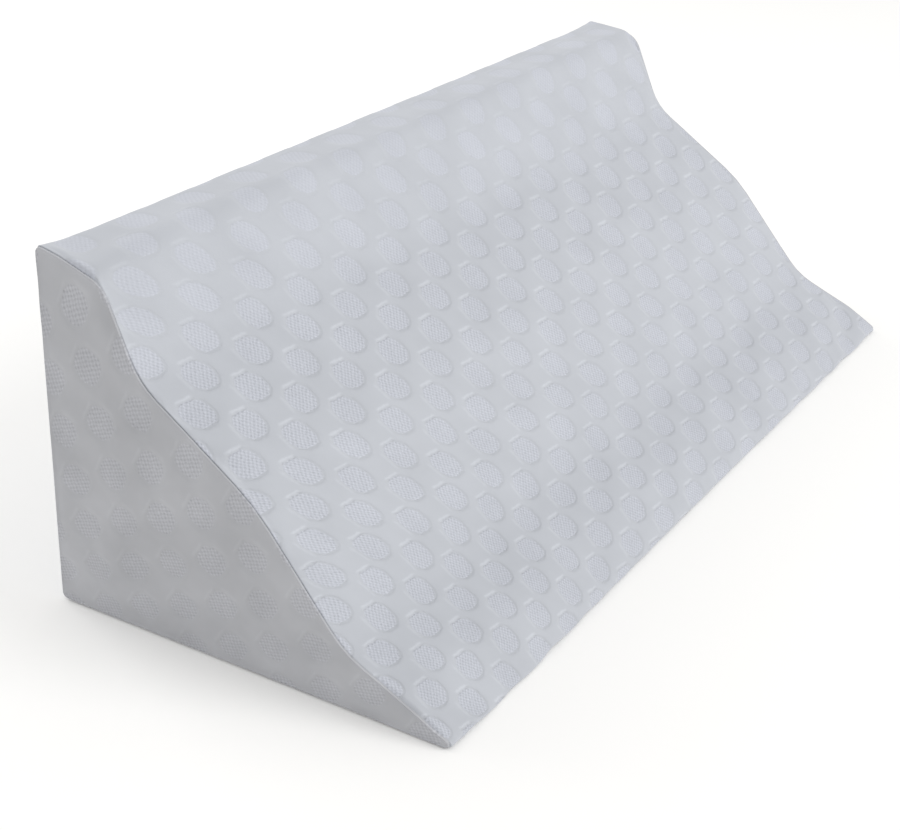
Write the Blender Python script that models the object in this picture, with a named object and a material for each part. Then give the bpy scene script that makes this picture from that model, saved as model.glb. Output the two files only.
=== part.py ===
"""Wedge pillow: a foam wedge in a stretch knit cover, closed by one sewn panel at each end.

Metres, +Z up. The origin is under the middle of the pillow, on the surface that it rests on. X runs along
the pillow, the slope faces -Y and the upright back is at +Y.
"""

import math

import bmesh
import bpy
from mathutils import Vector

# Overall size of the pillow.
LENGTH = 0.603
DEPTH = 0.245
HEIGHT = 0.200

# The corners of the wedge seen from its end, in order from the back foot over the top to the toe: where each
# lies in the full section, half-way along, and where the left end's seam pulls it to. The toe's corner lies
# ahead of the toe itself, which its rounding takes back to half of DEPTH.
BACK = DEPTH / 2 - 0.002  # the upright back at its edges; its middle swells to half of DEPTH
CORNERS = (
    # name, full y, full z, seam y, seam z, radius that rounds it
    ("back_foot", BACK, 0.0, BACK - 0.0004, 0.0004, 0.003),
    ("back_swell", DEPTH / 2, HEIGHT / 2, BACK, HEIGHT / 2, 1.2),
    ("back_top", BACK, HEIGHT, BACK, HEIGHT + 0.0020, 0.003),
    ("shoulder", 0.0840, 0.1985, 0.0775, 0.1875, 0.017),
    ("crook", 0.0610, 0.1440, 0.0575, 0.1420, 0.045),
    ("knee", -0.0060, 0.0990, -0.0110, 0.0940, 0.090),
    ("ankle", -0.0615, 0.0335, -0.0615, 0.0315, 0.048),
    ("instep", -0.0990, 0.0190, -0.1050, 0.0105, 0.050),
    ("toe", -0.1262, 0.0, -0.1285, 0.0004, 0.002),
)
# How much of that each end's seam draws in.
SEAM_DRAW = {"left": 1.0, "right": 0.45}
ARC_TURN = math.radians(11)  # most that the outline turns between two points of a rounding

# How full the cover stays between its end seams: the draw follows a curve that is flat over most of the length
# and steep at the seams. Its underside leaves the surface only past FLAT_SHARE of the way to a seam.
FULLNESS = 4.5
FLAT_SHARE = 0.93
# The sections, as shares of the way from the middle to the seam.
SECTIONS = (0.0, 0.35, 0.6, 0.76, 0.86, FLAT_SHARE, 0.965, 0.984, 0.994)

# The end panels: cloth thinnest at its sewn rim and swelled by the foam behind it.
PANEL_RIM = 0.0013
PANEL_CROWN = 0.0017
PANEL_SWELL_WIDTH = 0.030  # the crown is full this far inside the rim
PANEL_GRID = 0.014
GAP = 0.0003

CUSHION_END = LENGTH / 2 - PANEL_CROWN - PANEL_RIM - GAP

COVER_COLOUR = (0.60, 0.62, 0.66, 1.0)
PANEL_COLOUR = (0.55, 0.57, 0.60, 1.0)


def clear_scene():
    for obj in list(bpy.data.objects):
        bpy.data.objects.remove(obj)


def cloth_material(name, colour):
    material = bpy.data.materials.new(name)
    material.use_nodes = True
    surface = material.node_tree.nodes["Principled BSDF"]
    surface.inputs["Base Color"].default_value = colour
    surface.inputs["Roughness"].default_value = 0.85
    surface.inputs["Metallic"].default_value = 0.0
    return material


def rounded_corner(before, corner, after, radius, steps):
    """The points of the arc that rounds one corner, in order."""
    to_before = (before - corner).normalized()
    to_after = (after - corner).normalized()
    turn = math.pi - to_before.angle(to_after)
    inwards = (to_before + to_after).normalized()
    centre = corner + inwards * radius / math.cos(turn / 2)
    start = corner + to_before * radius * math.tan(turn / 2) - centre
    side = math.copysign(1.0, to_after.cross(to_before))
    points = []
    for step in range(steps + 1):
        angle = side * turn * step / steps
        cos, sin = math.cos(angle), math.sin(angle)
        points.append(centre + Vector((start.x * cos - start.y * sin, start.x * sin + start.y * cos)))
    return points


def outline(places):
    """The (y, z) points of a section whose corners are at these places, each corner rounded."""
    full = [Vector((y, z)) for _, y, z, _, _, _ in CORNERS]
    points = []
    for i, corner in enumerate(CORNERS):
        last, following = i - 1, (i + 1) % len(CORNERS)
        turn = math.pi - (full[last] - full[i]).angle(full[following] - full[i])
        steps = max(2, math.ceil(turn / ARC_TURN))
        points += rounded_corner(places[last], places[i], places[following], corner[-1], steps)
    return points


def full_outline():
    return outline([Vector((y, z)) for _, y, z, _, _, _ in CORNERS])


def seam_outline(end):
    places = []
    for _, y, z, seam_y, seam_z, _ in CORNERS:
        places.append(Vector((y, z)).lerp(Vector((seam_y, seam_z)), SEAM_DRAW[end]))
    return outline(places)


def drawn_in(share):
    """How far the cover has gone from its full section to its seam at this share of the way there."""
    return 1 - (1 - share**FULLNESS) ** (1 / FULLNESS)


def new_object(name, bm, material, collection):
    bmesh.ops.recalc_face_normals(bm, faces=bm.faces)
    mesh = bpy.data.meshes.new(name)
    bm.to_mesh(mesh)
    bm.free()
    mesh.materials.append(material)
    mesh.shade_smooth()
    mesh.set_sharp_from_angle(angle=math.radians(40))
    obj = bpy.data.objects.new(name, mesh)
    collection.objects.link(obj)
    return obj


def section_at(x):
    """The section's points at this x: full in the middle, drawn in towards a seam, and flat underneath."""
    full, seam = full_outline(), seam_outline("left" if x < 0 else "right")
    share = abs(x) / CUSHION_END
    points = []
    for wide, narrow in zip(full, seam):
        point = wide.lerp(narrow, drawn_in(share))
        if wide.y == 0.0:
            lift = max(0.0, share - FLAT_SHARE) / (1 - FLAT_SHARE)
            point.y = narrow.y * lift
        points.append(point)
    return points


def wedge_cushion(collection):
    """The foam wedge with the cover's long panel round it: one filled solid, drawn in at both ends."""
    bm = bmesh.new()
    stations = [-CUSHION_END]
    stations += [-share * CUSHION_END for share in reversed(SECTIONS[1:])]
    stations += [share * CUSHION_END for share in SECTIONS]
    stations.append(CUSHION_END)
    loops = []
    for x in stations:
        ring = [bm.verts.new((x, point.x, point.y)) for point in section_at(x)]
        loops.append([bm.edges.new((ring[i - 1], ring[i])) for i in range(len(ring))])
    for near, far in zip(loops, loops[1:]):
        bmesh.ops.bridge_loops(bm, edges=near + far)
    for rim in (loops[0], loops[-1]):
        bmesh.ops.contextual_create(bm, geom=rim)
    return new_object("wedge_cushion", bm, cloth_material("knit cover", COVER_COLOUR), collection)


def rim_distance(point, rim):
    """How far a point of a panel is from the panel's rim."""
    best = math.inf
    for i, after in enumerate(rim):
        before = rim[i - 1]
        along = after - before
        share = max(0.0, min(1.0, (point - before).dot(along) / along.length_squared))
        best = min(best, (point - before - along * share).length)
    return best


def end_panel(end, material, collection):
    """The sewn panel that closes one end: a sheet of cloth, flat behind and swelled in front."""
    side = -1 if end == "left" else 1
    rim = seam_outline(end)
    back_x = side * (CUSHION_END + GAP)
    bm = bmesh.new()
    back = bm.faces.new([bm.verts.new((back_x, point.x, point.y)) for point in rim])
    grown = bmesh.ops.extrude_face_region(bm, geom=[back], use_keep_orig=True)
    front = [item for item in grown["geom"] if isinstance(item, bmesh.types.BMVert)]
    bmesh.ops.translate(bm, verts=front, vec=(side * PANEL_RIM, 0, 0))
    front_x = back_x + side * PANEL_RIM
    for axis, first, last in (((0, 1, 0), -DEPTH / 2, DEPTH / 2), ((0, 0, 1), 0.0, HEIGHT)):
        for cut in range(1, round((last - first) / PANEL_GRID)):
            place = first + cut * PANEL_GRID
            faces = [face for face in bm.faces if all(abs(v.co.x - front_x) < GAP / 2 for v in face.verts)]
            edges = {edge for face in faces for edge in face.edges}
            verts = {vert for face in faces for vert in face.verts}
            point = [place * part for part in axis]
            geom = [*verts, *edges, *faces]
            bmesh.ops.bisect_plane(bm, geom=geom, plane_co=point, plane_no=axis, dist=GAP)
    for vert in bm.verts:
        if abs(vert.co.x - front_x) < GAP / 2:
            inside = min(1.0, rim_distance(Vector((vert.co.y, vert.co.z)), rim) / PANEL_SWELL_WIDTH)
            vert.co.x += side * PANEL_CROWN * math.sin(inside * math.pi / 2)
    return new_object(f"end_panel_{end}", bm, material, collection)


def main():
    clear_scene()
    collection = bpy.data.collections.new("wedge_pillow")
    bpy.context.scene.collection.children.link(collection)
    wedge_cushion(collection)
    panel_knit = cloth_material("knit end panel", PANEL_COLOUR)
    for end in SEAM_DRAW:
        end_panel(end, panel_knit, collection)


main()
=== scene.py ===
"""The looks of the wedge pillow: a dotted knit cover over the foam, a sewn panel at each end, and a studio.

Metres, +Z up, in the frame of the solids: X runs along the pillow, the slope faces -Y, and the back is at +Y.
"""

import math

import bmesh
import bpy
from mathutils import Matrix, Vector, kdtree, noise


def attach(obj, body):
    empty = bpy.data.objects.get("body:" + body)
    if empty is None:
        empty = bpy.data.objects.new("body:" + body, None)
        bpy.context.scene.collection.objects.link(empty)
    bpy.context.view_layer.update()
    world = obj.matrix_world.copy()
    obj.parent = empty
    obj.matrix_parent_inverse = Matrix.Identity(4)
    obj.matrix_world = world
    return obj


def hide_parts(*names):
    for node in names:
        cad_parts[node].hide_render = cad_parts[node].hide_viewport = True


MM = 0.001

# Camera: where it stands, which way it looks (degrees), and its lens on a 36 mm sensor.
CAMERA_PLACE = (-0.8653, -0.4520, 0.4869)
CAMERA_AZIMUTH = -56.55
CAMERA_ELEVATION = 22.48
CAMERA_LENS = 68.5
CAMERA_SHIFT = (0.0857, -0.1060)

# The knit's repeat at rest on the slope: dots along a row, and from one row to the next. Alternate rows are
# half a pitch across.
DOT_PITCH = 42.3 * MM
ROW_PITCH = 17.66 * MM
REPEAT = (DOT_PITCH, 2 * ROW_PITCH)
# A dot: half its size along the row and across it, and how square its round is (2 is an ellipse).
DOT_HALF = (9.8 * MM, 8.9 * MM)
DOT_SQUARENESS = 2.4

# How the rows lie on the slope, by x and by how far down from the back top edge.
ROW_DATUM = 0.180  # the lie of the knit is measured from this far down the middle of the slope
DATUM_ROW = 0.32  # how many rows that place is past a row's own line
ROW_DROOP = 0.044  # the rows sink this much for each metre towards the right end
ROW_TWIST = 0.20  # and this much more for each metre further down
ROW_CUP = 0.049  # both ends of a row hang lower than its middle
# Towards the toe the rows lie closer, and so do the dots in them, by these shares for a metre.
ROWS_TIGHTEN = 0.53
DOTS_TIGHTEN = 0.53
DOTS_OPEN = 1.26  # away from the datum the dots spread again
DOTS_BOW = 0.12  # and they crowd a little towards the left end
SLACK_CORNER = (-0.130, 0.165)  # left of this x and below this, the cover is slack and its dots lie closer
SLACK = 1.9
TOP_OF_FIT = 0.040  # above this, and past the toe, the rows keep one pitch
SWAY = (
    # down the slope, how far the dots have strayed along the row, in dots
    (0.045, 0.28),
    (0.085, -0.21),
    (0.125, -0.19),
    (0.165, -0.06),
    (0.205, -0.25),
    (0.245, -0.60),
    (0.285, -0.38),
    (0.325, -0.08),
)

# The knit on an end panel: a dot's middle, and the direction of its rows above the horizontal.
PANEL_DOT = (0.0730, 0.0608)
PANEL_ROW_ANGLE = math.radians(117.3)
PANEL_PITCHES = (42.3 * MM, 34.9 * MM)
PANEL_DOT_HALF = (8.8 * MM, 8.8 * MM)
PANEL_STRETCH = 3.6  # the knit is stretched upwards by this share more for each metre of height
PANEL_RISE = 0.372  # what the rows then rise by, for each e-fold of that stretch

# The cage of the long panel: the spacing of its rows down the slope, under the wedge and up the back, and of
# its columns.
SLOPE_ROWS = 6.25 * MM
UNDER_ROWS = 22 * MM
BACK_ROWS = 14 * MM
CORNER_ROWS = (0.7 * MM, 2.5 * MM)  # two rows hold each sharp corner
SEAM_INSET = 0.7 * MM  # the seam line is this far inside the end of the foam
COLUMNS = 10 * MM
SEAM_COLUMNS = (0.0, 1.2 * MM, 3.0 * MM, 6.0 * MM, 11 * MM, 18 * MM, 27 * MM)
# The cloth turned in at the seam: how far along X past the last column, and how far inwards.
TURNED_IN = ((0.4 * MM, 0.3 * MM), (0.35 * MM, 1.0 * MM), (0.15 * MM, 2.0 * MM))

# Settling the cover by simulation.
SETTLE_FRAMES = 20
SETTLE_PRESSURE = 1.2
SETTLE_CAP = 1.6 * MM

# Relief of the knit in the mesh.
DOT_DEPTH = 0.45 * MM
UNEVEN = 0.5 * MM
UNEVEN_WIDTH = 0.055
OVER_TOP = (0.13, 0.18)  # between these heights the relief goes down to half, where the cloth is stretched


def srgb(code):
    """A hex colour as linear RGBA."""
    channels = []
    for place in (1, 3, 5):
        value = int(code[place : place + 2], 16) / 255
        channels.append(value / 12.92 if value <= 0.04045 else ((value + 0.055) / 1.055) ** 2.4)
    return (*channels, 1.0)


def smooth_step(low, high, value):
    share = max(0.0, min(1.0, (value - low) / (high - low)))
    return share * share * (3 - 2 * share)


# Reading the solids


def merged_solid(node):
    """A copy of a solid's mesh with its triangles joined."""
    bm = bmesh.new()
    bm.from_mesh(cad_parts[node].data)
    bm.transform(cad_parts[node].matrix_world)
    bmesh.ops.remove_doubles(bm, verts=bm.verts, dist=0.01 * MM)
    return bm


def seam_place(solid):
    """How far along X the end seams lie from the middle."""
    return max(vert.co.x for vert in solid.verts) - SEAM_INSET


def cut_across(solid, x):
    """The (y, z) points round the solid, cut across at x: up the back, down the slope and under."""
    bm = solid.copy()
    bmesh.ops.bisect_plane(
        bm,
        geom=[*bm.verts, *bm.edges, *bm.faces],
        dist=0.001 * MM,
        plane_co=(x, 0, 0),
        plane_no=(1, 0, 0),
        clear_inner=True,
        clear_outer=True,
    )
    start = max(bm.verts, key=lambda vert: vert.co.y - vert.co.z)
    following = max((edge.other_vert(start) for edge in start.link_edges), key=lambda vert: vert.co.z)
    points, last, here = [start], start, following
    while here is not start:
        points.append(here)
        ahead = [edge.other_vert(here) for edge in here.link_edges if edge.other_vert(here) is not last]
        last, here = here, ahead[0]
    places = [Vector((vert.co.y, vert.co.z)) for vert in points]
    bm.free()
    return places


def stretches(section):
    """The section as three runs: up the back, down the slope to the toe, and under to the back foot."""
    top = max(range(len(section)), key=lambda i: section[i].x + section[i].y)
    toe = min(range(len(section)), key=lambda i: section[i].x + 0.3 * section[i].y)
    return section[: top + 1], section[top : toe + 1], [*section[toe:], section[0]]


def run_length(run):
    return sum((b - a).length for a, b in zip(run, run[1:]))


def along(run, shares):
    """The points at these rising shares of a run's length."""
    total, done, i, points = run_length(run), 0.0, 0, []
    for share in shares:
        while i < len(run) - 2 and done + (run[i + 1] - run[i]).length < share * total:
            done += (run[i + 1] - run[i]).length
            i += 1
        step = (run[i + 1] - run[i]).length
        points.append(run[i].lerp(run[i + 1], min(1.0, (share * total - done) / step)))
    return points


# The knit


def sway(down):
    """How far the dots have strayed along their row this far down the slope: a smooth line through SWAY."""
    places, strays = zip(*SWAY)
    place = (down - places[0]) / (places[1] - places[0])
    place = max(0.0, min(len(SWAY) - 1.001, place))
    i = int(place)
    share = place - i
    start, end = strays[i], strays[i + 1]
    leaving = (end - strays[max(0, i - 1)]) / 2
    arriving = (strays[min(len(SWAY) - 1, i + 2)] - start) / 2
    bend = leaving * (1 - share) - arriving * share + (end - start) * (2 * share - 1)
    return start + (end - start) * share + share * (1 - share) * bend


def wrap_knit(x, down, slope):
    """Where a place on the long panel lies in the knit, in repeats along the row and across it."""
    inside = max(TOP_OF_FIT, min(slope, down)) - ROW_DATUM
    beyond = down - ROW_DATUM - inside
    rows = inside * (1 + ROWS_TIGHTEN * inside) + beyond * (1 + 2 * ROWS_TIGHTEN * inside)
    rows += x * (ROW_CUP * x - ROW_DROOP - ROW_TWIST * inside)
    dots = x * (1.01 + inside * (DOTS_TIGHTEN - DOTS_OPEN * inside) - DOTS_BOW * x)
    dots -= SLACK * max(0.0, SLACK_CORNER[0] - x) * max(0.0, min(down, slope) - SLACK_CORNER[1])
    return sway(down) + dots / DOT_PITCH, (DATUM_ROW + rows / ROW_PITCH) / 2


def panel_knit(y, z, side):
    """The same on an end panel, whose knit is turned, and stretched upwards."""
    risen = PANEL_RISE * math.log((1 + PANEL_STRETCH * z) / (1 + PANEL_STRETCH * PANEL_DOT[1]))
    offset = Vector((y - PANEL_DOT[0], risen))
    row = Vector((math.cos(PANEL_ROW_ANGLE), math.sin(PANEL_ROW_ANGLE)))
    across = Vector((-row.y, row.x))
    return side * offset.dot(row) / PANEL_PITCHES[0], offset.dot(across) / PANEL_PITCHES[1]


def dot_radius(u, v):
    """How far out this place is in its nearest dot: 0 in the middle and 1 at the edge."""
    best = math.inf
    for shift in (0.0, 0.5):
        along_row = ((u + shift + 0.5) % 1.0 - 0.5) * REPEAT[0] / DOT_HALF[0]
        across = ((v + shift + 0.5) % 1.0 - 0.5) * REPEAT[1] / DOT_HALF[1]
        radius = (abs(along_row) ** DOT_SQUARENESS + abs(across) ** DOT_SQUARENESS) ** (1 / DOT_SQUARENESS)
        best = min(best, radius)
    return best


def relief(u, v, place):
    """How high the knit's face stands here: puffed ground, sunk dots, and the foam's own unevenness."""
    radius = dot_radius(u, v)
    sunk = smooth_step(1.22, 0.80, radius) if radius < 1.22 else 0.0
    return UNEVEN * noise.noise(place / UNEVEN_WIDTH) - DOT_DEPTH * sunk


def add_relief(mesh, amount_at):
    """Moves each point of a mesh out along its normal by the relief that its place in the knit calls for."""
    knit = mesh.uv_layers["knit"].data
    places = {}
    for loop in mesh.loops:
        places.setdefault(loop.vertex_index, knit[loop.index].uv.copy())
    normals = [Vector(normal.vector) for normal in mesh.vertex_normals]
    for vert in mesh.vertices:
        u, v = places[vert.index]
        vert.co += normals[vert.index] * relief(u, v, vert.co) * amount_at(vert.co)


# The long panel


def runs_of_rows(run_lengths):
    """Each row of the cage as (run, share of that run), closer at the sharp corners."""
    rows = []
    for run, (length, spacing) in enumerate(zip(run_lengths, (BACK_ROWS, SLOPE_ROWS, UNDER_ROWS))):
        edge = CORNER_ROWS[-1]
        count = round((length - 2 * edge) / spacing)
        places = [0.0, *CORNER_ROWS]
        places += [edge + (length - 2 * edge) * step / count for step in range(1, count)]
        places += [length - place for place in reversed(CORNER_ROWS)]
        rows += [(run, place / length) for place in places]
    return rows + [(2, 1.0)]


def seam_columns(seam_x):
    """Each column of the cage as (x, how far inwards), from the left seam to the right one."""
    middle = seam_x - SEAM_COLUMNS[-1]
    count = round(2 * middle / COLUMNS)
    columns = [(-middle + 2 * middle * step / count, 0.0) for step in range(1, count)]
    for place in reversed(SEAM_COLUMNS):
        columns.append((seam_x - place, 0.0))
        columns.insert(0, (place - seam_x, 0.0))
    for past, inwards in TURNED_IN:
        columns.append((seam_x + past, inwards))
        columns.insert(0, (-seam_x - past, inwards))
    return columns


def moved_inwards(points, distance):
    """A ring of (y, z) points that runs up the back and down the slope, moved in along its normals."""
    moved = []
    for i, point in enumerate(points):
        direction = points[(i + 1) % len(points)] - points[i - 1]
        inward = Vector((-direction.y, direction.x)).normalized()
        moved.append(point + inward * distance)
    return moved


def wrap_cage():
    """The long panel as a coarse grid wrapped round the wedge and closed along its back foot."""
    solid = merged_solid("wedge_cushion")
    seam_x = seam_place(solid)
    middle_runs = stretches(cut_across(solid, 0.001))
    lengths = [run_length(run) for run in middle_runs]
    rows = runs_of_rows(lengths)
    columns = seam_columns(seam_x)
    rings = []
    for x, inwards in columns:
        runs = stretches(cut_across(solid, max(-seam_x, min(seam_x, x))))
        points = []
        for run in range(3):
            points += along(runs[run], [share for place, share in rows if place == run])
        rings.append(moved_inwards(points[:-1], inwards) if inwards else points[:-1])
    solid.free()

    bm = bmesh.new()
    bmesh.ops.create_grid(bm, x_segments=len(columns) - 1, y_segments=len(rows) - 1, size=1)
    knit = bm.loops.layers.uv.new("knit")
    spots = {}
    for vert in bm.verts:
        column = round((vert.co.x + 1) / 2 * (len(columns) - 1))
        row = round((vert.co.y + 1) / 2 * (len(rows) - 1))
        spots[vert.index] = (column, row)
    starts = (-lengths[0], 0.0, lengths[1])
    for face in bm.faces:
        for loop in face.loops:
            column, row = spots[loop.vert.index]
            run, share = rows[row]
            down = starts[run] + share * lengths[run]
            loop[knit].uv = wrap_knit(columns[column][0], down, lengths[1])
    for vert in bm.verts:
        column, row = spots[vert.index]
        point = rings[column][row % (len(rows) - 1)]
        vert.co = (columns[column][0], point.x, point.y)
    bmesh.ops.remove_doubles(bm, verts=bm.verts, dist=0.001 * MM)
    return bm, seam_x


def as_object(name, bm, material):
    mesh = bpy.data.meshes.new(name)
    bm.to_mesh(mesh)
    bm.free()
    mesh.materials.append(material)
    mesh.shade_smooth()
    obj = bpy.data.objects.new(name, mesh)
    bpy.context.scene.collection.objects.link(obj)
    return obj


def settle(obj, held):
    """Lets the cover settle over its foam as cloth, held at its seams and underneath, within the cap."""
    group = obj.vertex_groups.new(name="held")
    group.add(held, 1.0, "REPLACE")
    modifier = obj.modifiers.new("settling", "CLOTH")
    cloth = modifier.settings
    cloth.vertex_group_mass = group.name
    cloth.quality = 5
    cloth.mass = 0.12
    cloth.tension_stiffness = 20
    cloth.compression_stiffness = 6
    cloth.shear_stiffness = 6
    cloth.bending_stiffness = 0.4
    cloth.shrink_min = -0.006
    cloth.use_pressure = True
    cloth.uniform_pressure_force = SETTLE_PRESSURE
    cloth.effector_weights.gravity = 0
    for step in range(1, SETTLE_FRAMES + 1):
        bpy.context.scene.frame_set(step)
    settled = obj.evaluated_get(bpy.context.evaluated_depsgraph_get()).data
    moves = [after.co - before.co for before, after in zip(obj.data.vertices, settled.vertices)]
    obj.modifiers.remove(modifier)
    obj.vertex_groups.remove(group)
    bpy.context.scene.frame_set(1)
    for vert, move in zip(obj.data.vertices, moves):
        if move.length > 0:
            vert.co += move.normalized() * SETTLE_CAP * math.tanh(move.length / SETTLE_CAP)
    return max(move.length for move in moves)


def apply_modifiers(obj):
    graph = bpy.context.evaluated_depsgraph_get()
    mesh = bpy.data.meshes.new_from_object(obj.evaluated_get(graph), depsgraph=graph)
    obj.modifiers.clear()
    obj.data = mesh


def close_ends(obj):
    """Fills each open end, which lies hidden behind an end panel."""
    bm = bmesh.new()
    bm.from_mesh(obj.data)
    open_edges = [edge for edge in bm.edges if edge.is_boundary]
    bmesh.ops.holes_fill(bm, edges=open_edges, sides=0)
    bmesh.ops.recalc_face_normals(bm, faces=bm.faces)
    bm.to_mesh(obj.data)
    bm.free()


def cover_wrap(material):
    """The cover's long panel over the foam."""
    bm, seam_x = wrap_cage()
    bmesh.ops.recalc_face_normals(bm, faces=bm.faces)
    obj = as_object("cover_wrap", bm, material)
    held = []
    for vert in obj.data.vertices:
        if abs(vert.co.x) > seam_x - 0.1 * MM or vert.co.z < 0.5 * MM:
            held.append(vert.index)
    print("cover settled by", settle(obj, held))
    finer = obj.modifiers.new("finer", "SUBSURF")
    finer.levels = finer.render_levels = 2
    apply_modifiers(obj)

    def amount_at(place):
        at_seam = smooth_step(0.5 * MM, 5 * MM, seam_x - abs(place.x))
        pressed = smooth_step(0.0, 6 * MM, place.z)
        return at_seam * pressed * (1 - 0.5 * smooth_step(*OVER_TOP, place.z))

    add_relief(obj.data, amount_at)
    for vert in obj.data.vertices:
        vert.co.z = max(vert.co.z, 0.0)
    close_ends(obj)
    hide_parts("wedge_cushion")
    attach(obj, "root")
    return obj


# The end panels

SEAM_PROFILE = (
    # inwards from the seam line where the lip stands up, more where it lies down, how far out along X
    (2.00 * MM, 0.0, -0.90 * MM),
    (1.10 * MM, 0.15 * MM, 0.20 * MM),
    (0.60 * MM, 0.35 * MM, 0.90 * MM),
    (0.35 * MM, 0.50 * MM, 1.35 * MM),
    (0.50 * MM, 0.50 * MM, 1.80 * MM),
    (1.10 * MM, 0.35 * MM, 2.05 * MM),
    (1.80 * MM, 0.20 * MM, 1.90 * MM),
    (2.80 * MM, 0.10 * MM, 1.65 * MM),
    (4.20 * MM, 0.0, 1.75 * MM),
)
LIP_RISES = (0.08, 0.12)  # down the slope the lip comes up between these
LIP_FALLS = (0.28, 0.23)  # and it lies down again by the first of these
PANEL_RIM_POINTS = 480
PANEL_GRID = 1.6 * MM
PANEL_CUTS = (
    # the grid across a panel: which way the cuts face, and where they start and end
    ((0, 1, 0), -0.125, 0.123),
    ((0, 0, 1), 0.0, 0.200),
)
PANEL_CROWN = 3.6 * MM
PANEL_SWELL = 13 * MM  # how soon inside the seam the crown rises
PANEL_UNEVEN = 2.2 * MM
PANEL_UNEVEN_WIDTH = 0.036
SPINE = (Vector((0.075, 0.090)), Vector((-0.100, 0.008)))  # the seam's rings step in towards this line
HOLLOWS = (
    # soft hollows that show in the left panel: y, z, half width, half height, depth
    (0.108, 0.181, 0.012, 0.008, 0.7 * MM),
    (0.104, 0.153, 0.014, 0.008, 0.7 * MM),
    (0.084, 0.146, 0.009, 0.020, 0.8 * MM),
    (0.060, 0.125, 0.012, 0.014, 0.5 * MM),
)


def nearest_on_spine(point):
    line = SPINE[1] - SPINE[0]
    share = max(0.0, min(1.0, (point - SPINE[0]).dot(line) / line.length_squared))
    return SPINE[0] + line * share


def edges_of(runs):
    """Each run of the seam as a tree of near points."""
    edges = []
    for run in runs:
        edge = kdtree.KDTree(500)
        for i, point in enumerate(along(run, [step / 499 for step in range(500)])):
            edge.insert((point.x, point.y, 0), i)
        edge.balance()
        edges.append(edge)
    return edges


def inside_edges(edges, place):
    """How far a place is inside the seam. Where two edges are near it counts both, so it has no ridge."""
    near = [max(0.2 * MM, edge.find((place.x, place.y, 0))[2]) for edge in edges]
    return sum(distance**-3 for distance in near) ** (-1 / 3)


def hollow_at(y, z):
    depth = 0.0
    for middle_y, middle_z, half_y, half_z, deep in HOLLOWS:
        depth += deep * math.exp(-(((y - middle_y) / half_y) ** 2) - ((z - middle_z) / half_z) ** 2)
    return depth


def end_panel(name, node, side, material):
    """A sewn end panel: rings from the seam's turned edge over its lip, closed behind, then a fine grid."""
    solid = merged_solid("wedge_cushion")
    seam_x = seam_place(solid)
    runs = stretches(cut_across(solid, side * seam_x))
    solid.free()
    edges = edges_of(runs)
    total = sum(run_length(run) for run in runs)
    rim, standing = [], []
    for run in runs:
        length = run_length(run)
        count = round(PANEL_RIM_POINTS * length / total)
        rim += along(run, [step / count for step in range(count)])
        for step in range(count):
            down = length * step / count if run is runs[1] else 0.0
            standing.append(smooth_step(*LIP_RISES, down) * smooth_step(*LIP_FALLS, down))
    ways = [nearest_on_spine(point) - point for point in rim]
    edge_depth, _, edge_out = SEAM_PROFILE[-1]
    face_x = seam_x + edge_out
    bm = bmesh.new()
    loops = []
    for inwards, lying, out in SEAM_PROFILE:
        verts = []
        for point, way, stands in zip(rim, ways, standing):
            depth = (inwards + lying * (1 - stands)) * min(1.0, way.length / (4 * edge_depth))
            place = point + way.normalized() * depth
            verts.append(bm.verts.new((side * (seam_x + out), place.x, place.y)))
        loops.append([bm.edges.new((verts[i - 1], verts[i])) for i in range(len(verts))])
    for outer, inner in zip(loops, loops[1:]):
        bmesh.ops.bridge_loops(bm, edges=outer + inner)
    bmesh.ops.contextual_create(bm, geom=loops[0])
    face = bmesh.ops.contextual_create(bm, geom=loops[-1])["faces"][0]
    geom = [face, *face.edges, *face.verts]
    for axis, first, last in PANEL_CUTS:
        for cut in range(1, round((last - first) / PANEL_GRID)):
            point = [(first + cut * PANEL_GRID) * part for part in axis]
            cut_up = bmesh.ops.bisect_plane(bm, geom=geom, dist=0.05 * MM, plane_co=point, plane_no=axis)
            geom = cut_up["geom"]
    bmesh.ops.recalc_face_normals(bm, faces=bm.faces)
    knit = bm.loops.layers.uv.new("knit")
    for face in bm.faces:
        for loop in face.loops:
            loop[knit].uv = panel_knit(loop.vert.co.y, loop.vert.co.z, side)
    obj = as_object(name, bm, material)

    for vert in obj.data.vertices:
        if side * vert.co.x < face_x - 0.01 * MM:
            continue
        inside = inside_edges(edges, vert.co.yz)
        u, v = panel_knit(vert.co.y, vert.co.z, side)
        slack = smooth_step(4 * MM, 22 * MM, inside)
        out = (PANEL_CROWN - edge_out) * (1 - math.exp(-max(0.0, inside - 0.75 * edge_depth) / PANEL_SWELL))
        out += relief(u, v, vert.co) * smooth_step(3 * MM, 8 * MM, inside)
        out -= PANEL_UNEVEN * (0.5 + noise.noise(vert.co / PANEL_UNEVEN_WIDTH)) * slack
        if side < 0:
            out -= hollow_at(vert.co.y, vert.co.z)
        vert.co.x += side * out
    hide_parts(node)
    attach(obj, "root")
    return obj


# Materials


def add(tree, kind, settings=None, inputs=None):
    """Adds a node, sets its properties, and fills its inputs with values or links them to other nodes."""
    node = tree.nodes.new(kind)
    for key, value in (settings or {}).items():
        setattr(node, key, value)
    for key, value in (inputs or {}).items():
        if isinstance(value, bpy.types.Node):
            value = value.outputs[0]
        if isinstance(value, bpy.types.NodeSocket):
            tree.links.new(value, node.inputs[key])
        else:
            node.inputs[key].default_value = value
    return node


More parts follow.
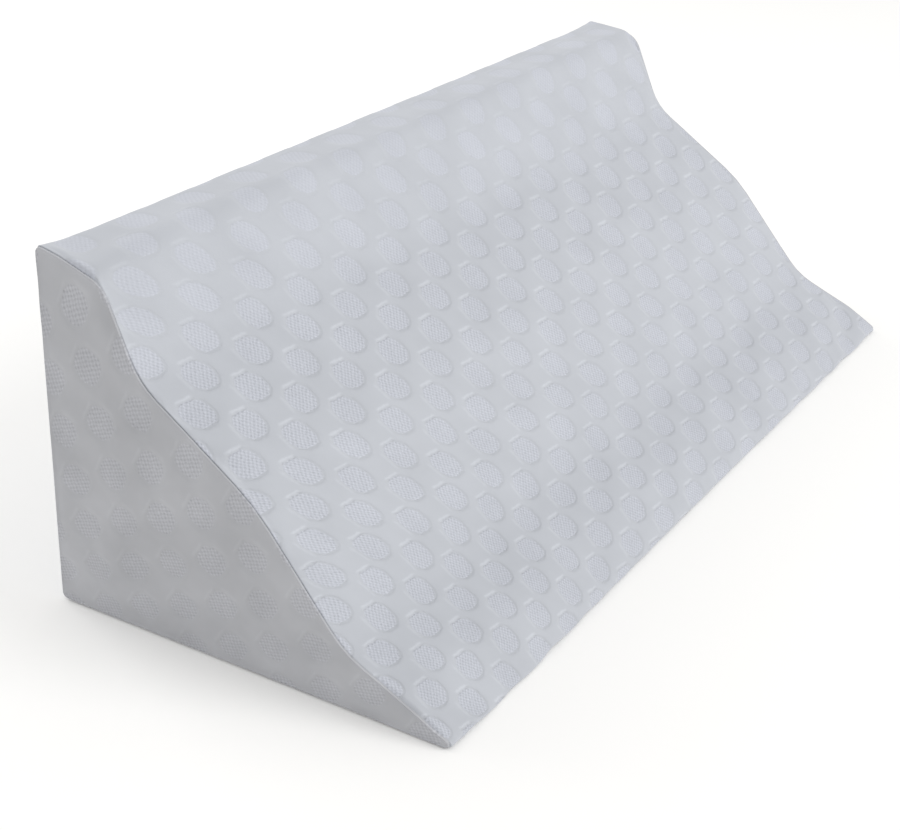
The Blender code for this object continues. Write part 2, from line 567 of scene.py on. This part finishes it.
# The open mesh in a dot, in millimetres: a loop along the row, and from one course to the next.
LOOP_WIDTH = 2.9
LOOP_HEIGHT = 1.5
# Painted light and shade along the dots' edges: lighter just outside the upper and left edges and just inside
# the lower one, darker just inside the upper edge and just outside the lower and right ones.
EDGE_LIGHT_AND_SHADE = (
    # 0 across the row's line and 1 along it, place in half dots, half width in mm, how much lighter
    (1, -1.13, 1.4, 0.13),
    (1, -0.92, 0.6, -0.07),
    (1, 0.92, 0.6, 0.07),
    (1, 1.16, 1.8, -0.03),
    (0, -1.15, 2.0, 0.07),
    (0, 1.15, 2.2, -0.02),
)


def knit_material(name, ground, dots, repeat, dot_half, crispness, flat_rows, patchy):
    """Double knit, polyester and viscose: smooth puffed ground, and sunk dots where the two faces are knitted
    together in an open mesh of loops, with a crease along each straight edge. It looks matt and soft.

    Crispness is how hard the dots' edges are pressed in, and how strong the painted light and shade along
    them is. Between the two flat_rows the stretched cloth comes up from nearly flat, and so do its painted
    light and shade. Patchy is how much its tone wanders."""
    material = bpy.data.materials.new(name)
    material.use_nodes = True
    tree = material.node_tree
    shader = tree.nodes["Principled BSDF"]
    step = "SMOOTHSTEP"

    knit = add(tree, "ShaderNodeUVMap", {"uv_map": "knit"})
    in_mm = (repeat[0] / MM, repeat[1] / MM, 0.0)
    cloth = add(tree, "ShaderNodeVectorMath", {"operation": "MULTIPLY"}, {0: knit, 1: in_mm})

    # Where this place is in its nearest dot, in millimetres from the middle
    corner = (0.5, 0.5, 0.5)
    opposite = (-0.5, -0.5, -0.5)
    even = add(tree, "ShaderNodeVectorMath", {"operation": "WRAP"}, {0: knit, 1: corner, 2: opposite})
    moved = add(tree, "ShaderNodeVectorMath", {"operation": "ADD"}, {0: knit, 1: (0.5, 0.5, 0.0)})
    odd = add(tree, "ShaderNodeVectorMath", {"operation": "WRAP"}, {0: moved, 1: corner, 2: opposite})
    even = add(tree, "ShaderNodeVectorMath", {"operation": "MULTIPLY"}, {0: even, 1: in_mm})
    odd = add(tree, "ShaderNodeVectorMath", {"operation": "MULTIPLY"}, {0: odd, 1: in_mm})
    to_even = add(tree, "ShaderNodeVectorMath", {"operation": "LENGTH"}, {0: even})
    to_odd = add(tree, "ShaderNodeVectorMath", {"operation": "LENGTH"}, {0: odd})
    lengths = {0: to_odd.outputs[1], 1: to_even.outputs[1]}
    nearer = add(tree, "ShaderNodeMath", {"operation": "LESS_THAN"}, lengths)
    local = add(tree, "ShaderNodeMix", {"data_type": "VECTOR"}, {0: nearer, 4: even, 5: odd})
    wobble = add(tree, "ShaderNodeTexNoise", {}, {"Vector": cloth, "Scale": 0.35, "Detail": 1.0})
    wobble = add(tree, "ShaderNodeVectorMath", {"operation": "SUBTRACT"}, {0: wobble.outputs[1], 1: corner})
    wobble = add(tree, "ShaderNodeVectorMath", {"operation": "SCALE"}, {0: wobble, "Scale": 1.6})
    local = add(tree, "ShaderNodeVectorMath", {"operation": "ADD"}, {0: local.outputs[1], 1: wobble})
    signed = add(tree, "ShaderNodeSeparateXYZ", {}, {0: local})
    local = add(tree, "ShaderNodeVectorMath", {"operation": "ABSOLUTE"}, {0: local})
    apart = add(tree, "ShaderNodeSeparateXYZ", {}, {0: local})
    across = apart.outputs[1]
    row = add(tree, "ShaderNodeSeparateXYZ", {}, {0: knit}).outputs[1]
    puffed = {0: row, 1: flat_rows[0], 2: flat_rows[1], 3: 0.4}
    puffed = add(tree, "ShaderNodeMapRange", {"interpolation_type": step}, puffed)

    # 0 in the middle of the dot, 1 at its edge
    powers = []
    for side in (0, 1):
        share = add(
            tree, "ShaderNodeMath", {"operation": "DIVIDE"}, {0: apart.outputs[side], 1: dot_half[side] / MM}
        )
        powers.append(add(tree, "ShaderNodeMath", {"operation": "POWER"}, {0: share, 1: DOT_SQUARENESS}))
    radius = add(tree, "ShaderNodeMath", {"operation": "ADD"}, {0: powers[0], 1: powers[1]})
    radius = add(tree, "ShaderNodeMath", {"operation": "POWER"}, {0: radius, 1: 1 / DOT_SQUARENESS})
    inside = add(tree, "ShaderNodeMapRange", {"interpolation_type": step}, {0: radius, 1: 1.0, 2: 0.92})
    sunk = add(tree, "ShaderNodeMapRange", {"interpolation_type": step}, {0: radius, 1: 1.18, 2: 0.99})

    # The crease along each straight edge
    off_edge = add(tree, "ShaderNodeMath", {"operation": "SUBTRACT"}, {0: across, 1: 0.93 * dot_half[1] / MM})
    off_edge = add(tree, "ShaderNodeMath", {"operation": "ABSOLUTE"}, {0: off_edge})
    line = add(tree, "ShaderNodeMapRange", {"interpolation_type": step}, {0: off_edge, 1: 0.6, 2: 0.0})
    span = {0: apart.outputs[0], 1: 6.8, 2: 4.0}
    span = add(tree, "ShaderNodeMapRange", {"interpolation_type": step}, span)
    crease = add(tree, "ShaderNodeMath", {"operation": "MULTIPLY"}, {0: line, 1: span})

    # Painted light and shade along the dots' edges: the colour is lighter or darker in bands where a light
    # from the front and right would catch or miss the edges
    painted_edge_light = 0.0
    for axis, place, half_width, lighter in EDGE_LIGHT_AND_SHADE:
        off_line = {0: signed.outputs[axis], 1: place * dot_half[axis] / MM}
        off_line = add(tree, "ShaderNodeMath", {"operation": "SUBTRACT"}, off_line)
        off_line = add(tree, "ShaderNodeMath", {"operation": "ABSOLUTE"}, {0: off_line})
        bright = {0: off_line, 1: half_width, 2: 0.0, 4: lighter}
        bright = add(tree, "ShaderNodeMapRange", {"interpolation_type": step}, bright)
        ends = {0: apart.outputs[1 - axis], 1: 7.2, 2: 3.8}
        ends = add(tree, "ShaderNodeMapRange", {"interpolation_type": step}, ends)
        painted_edge_light = add(tree, "ShaderNodeMath", {"operation": "MULTIPLY_ADD"}, {0: bright, 1: ends, 2: painted_edge_light})
    painted_edge_light = add(tree, "ShaderNodeMath", {"operation": "MULTIPLY"}, {0: painted_edge_light, 1: puffed})
    painted_edge_light = add(tree, "ShaderNodeMath", {"operation": "MULTIPLY_ADD"}, {0: painted_edge_light, 1: crispness, 2: 1.0})

    # The mesh of loops, offset by half a loop from one course to the next
    strayed = add(tree, "ShaderNodeVectorMath", {"operation": "ADD"}, {0: cloth, 1: wobble})
    turns = add(
        tree,
        "ShaderNodeVectorMath",
        {"operation": "MULTIPLY"},
        {0: strayed, 1: (math.tau / LOOP_WIDTH, math.tau / (2 * LOOP_HEIGHT), 0.0)},
    )
    turns = add(tree, "ShaderNodeSeparateXYZ", {}, {0: turns})
    wales = add(tree, "ShaderNodeMath", {"operation": "COSINE"}, {0: turns.outputs[0]})
    courses = add(tree, "ShaderNodeMath", {"operation": "COSINE"}, {0: turns.outputs[1]})
    loops = add(tree, "ShaderNodeMath", {"operation": "MULTIPLY"}, {0: wales, 1: courses})
    uneven = add(tree, "ShaderNodeTexNoise", {}, {"Vector": cloth, "Scale": 0.8, "Detail": 2.0})
    uneven = add(tree, "ShaderNodeMapRange", {}, {0: uneven, 1: 0.3, 2: 0.7, 3: 0.1, 4: 1.7})
    loops = add(tree, "ShaderNodeMath", {"operation": "MULTIPLY"}, {0: loops, 1: uneven})
    mesh = add(tree, "ShaderNodeMath", {"operation": "MULTIPLY"}, {0: loops, 1: inside})
    mesh = add(tree, "ShaderNodeMath", {"operation": "MULTIPLY"}, {0: mesh, 1: puffed})

    # Fine jersey loops of the ground, drawn at 1.2 mm so that they just show
    fine = add(tree, "ShaderNodeTexNoise", {}, {"Vector": cloth, "Scale": 0.85, "Detail": 3.0})

    # Heights in millimetres
    height = add(tree, "ShaderNodeMath", {"operation": "MULTIPLY"}, {0: sunk, 1: -0.3 * crispness})
    creased = {0: crease, 1: -0.15 * crispness, 2: height}
    height = add(tree, "ShaderNodeMath", {"operation": "MULTIPLY_ADD"}, creased)
    height = add(tree, "ShaderNodeMath", {"operation": "MULTIPLY"}, {0: height, 1: puffed})
    height = add(tree, "ShaderNodeMath", {"operation": "MULTIPLY_ADD"}, {0: mesh, 1: 0.12, 2: height})
    height = add(tree, "ShaderNodeMath", {"operation": "MULTIPLY_ADD"}, {0: fine, 1: 0.06, 2: height})
    bump = add(tree, "ShaderNodeBump", {}, {"Height": height, "Distance": MM, "Strength": 1.0})

    # Colour: the ground and the dots a little bluer, with a random wander of tone, painted shade between the
    # loops and painted highlight on them, and painted light and shade along the dots' edges, with painted
    # shade in the upper crease
    tone = add(tree, "ShaderNodeTexNoise", {}, {"Vector": cloth, "Scale": 0.026, "Detail": 3.0})
    tone = add(tree, "ShaderNodeMapRange", {}, {0: tone, 1: 0.3, 2: 0.7, 3: 1 - patchy, 4: 1 + patchy})
    colour = add(
        tree, "ShaderNodeMix", {"data_type": "RGBA"}, {0: inside, 6: srgb(ground), 7: srgb(dots)}
    )
    # Painted shade between the loops of the dots' mesh and painted highlight on the loops
    loop_painted_shade_and_highlight = add(tree, "ShaderNodeMapRange", {}, {0: mesh, 1: -1.0, 2: 1.0, 3: 0.85, 4: 1.13})
    shade = add(tree, "ShaderNodeMath", {"operation": "MULTIPLY"}, {0: tone, 1: loop_painted_shade_and_highlight})
    shade = add(tree, "ShaderNodeMath", {"operation": "MULTIPLY"}, {0: shade, 1: painted_edge_light})
    colour = add(
        tree, "ShaderNodeVectorMath", {"operation": "SCALE"}, {0: colour.outputs[2], "Scale": shade}
    )
    tree.links.new(colour.outputs[0], shader.inputs["Base Color"])
    tree.links.new(bump.outputs[0], shader.inputs["Normal"])
    shader.inputs["Roughness"].default_value = 0.85
    shader.inputs["Specular IOR Level"].default_value = 0.3
    shader.inputs["Sheen Weight"].default_value = 0.15
    shader.inputs["Sheen Roughness"].default_value = 0.5
    return material


# Light, floor and camera

FLOOR_HALF = 8.0
SOFT_BOX_SIZE = 1.6
SOFT_BOX_DISTANCE = 2.6
SOFT_BOXES = (
    # name, the way to it from the pillow, watts
    ("key", (0.22, -0.80, 0.55), 25),
    ("back light", (0.0, 0.82, 0.52), 20),
)


def studio():
    """A white floor and surround, a soft light from the front right and one from behind, and the camera."""
    bm = bmesh.new()
    bmesh.ops.create_grid(bm, x_segments=1, y_segments=1, size=FLOOR_HALF)
    # Matt white paper on a light table: pure white but for the soft shadows
    white = bpy.data.materials.new("white paper sweep")
    white.use_nodes = True
    shader = white.node_tree.nodes["Principled BSDF"]
    shader.inputs["Base Color"].default_value = (0.92, 0.914, 0.898, 1.0)
    shader.inputs["Emission Color"].default_value = (1.0, 1.0, 1.0, 1.0)
    shader.inputs["Emission Strength"].default_value = 0.07
    shader.inputs["Roughness"].default_value = 1.0
    shader.inputs["Specular IOR Level"].default_value = 0.0
    floor = as_object("floor", bm, white)

    scene = bpy.context.scene
    world = bpy.data.worlds.new("surround")
    world.use_nodes = True
    world.node_tree.nodes["Background"].inputs["Color"].default_value = (1.0, 1.0, 1.0, 1.0)
    world.node_tree.nodes["Background"].inputs["Strength"].default_value = 0.76
    scene.world = world
    scene.view_settings.view_transform = "Standard"

    for name, way, energy in SOFT_BOXES:
        lamp = bpy.data.lights.new(name, "AREA")
        lamp.shape = "DISK"
        lamp.size = SOFT_BOX_SIZE
        lamp.energy = energy
        box = bpy.data.objects.new(name, lamp)
        box.location = Vector(way).normalized() * SOFT_BOX_DISTANCE
        box.rotation_euler = Vector(way).to_track_quat("Z", "Y").to_euler()
        box.visible_camera = False
        scene.collection.objects.link(box)

    lens = bpy.data.cameras.new("camera")
    lens.lens = CAMERA_LENS
    lens.shift_x, lens.shift_y = CAMERA_SHIFT
    camera = bpy.data.objects.new("camera", lens)
    camera.location = CAMERA_PLACE
    camera.rotation_euler = (math.radians(90 - CAMERA_ELEVATION), 0, math.radians(CAMERA_AZIMUTH))
    scene.collection.objects.link(camera)
    scene.camera = camera


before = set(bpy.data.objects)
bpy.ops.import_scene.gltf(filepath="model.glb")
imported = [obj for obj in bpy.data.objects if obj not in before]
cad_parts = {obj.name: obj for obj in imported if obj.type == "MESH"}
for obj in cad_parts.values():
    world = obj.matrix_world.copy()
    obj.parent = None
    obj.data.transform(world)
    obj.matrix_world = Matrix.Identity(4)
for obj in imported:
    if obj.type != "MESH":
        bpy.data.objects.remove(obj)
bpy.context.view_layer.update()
studio()
wrap_knit_cloth = knit_material(
    "double knit, long panel",
    "#BCBFC5",
    "#BFC2CA",
    REPEAT,
    DOT_HALF,
    crispness=1.0,
    flat_rows=(-3.4, -1.0),
    patchy=0.035,
)
# The end panels are the same knit as the long panel, set darker and less blue: painted shade for the end
# faces, which get less light than the slope.
panel_knit_with_painted_shade = knit_material(
    "double knit, end panel",
    "#B3B4B8",
    "#B4B5BA",
    PANEL_PITCHES,
    PANEL_DOT_HALF,
    crispness=0.4,
    flat_rows=(-99, -98),
    patchy=0.08,
)
cover_wrap(wrap_knit_cloth)
end_panel("left_panel", "end_panel_left", -1, panel_knit_with_painted_shade)
end_panel("right_panel", "end_panel_right", 1, panel_knit_with_painted_shade)
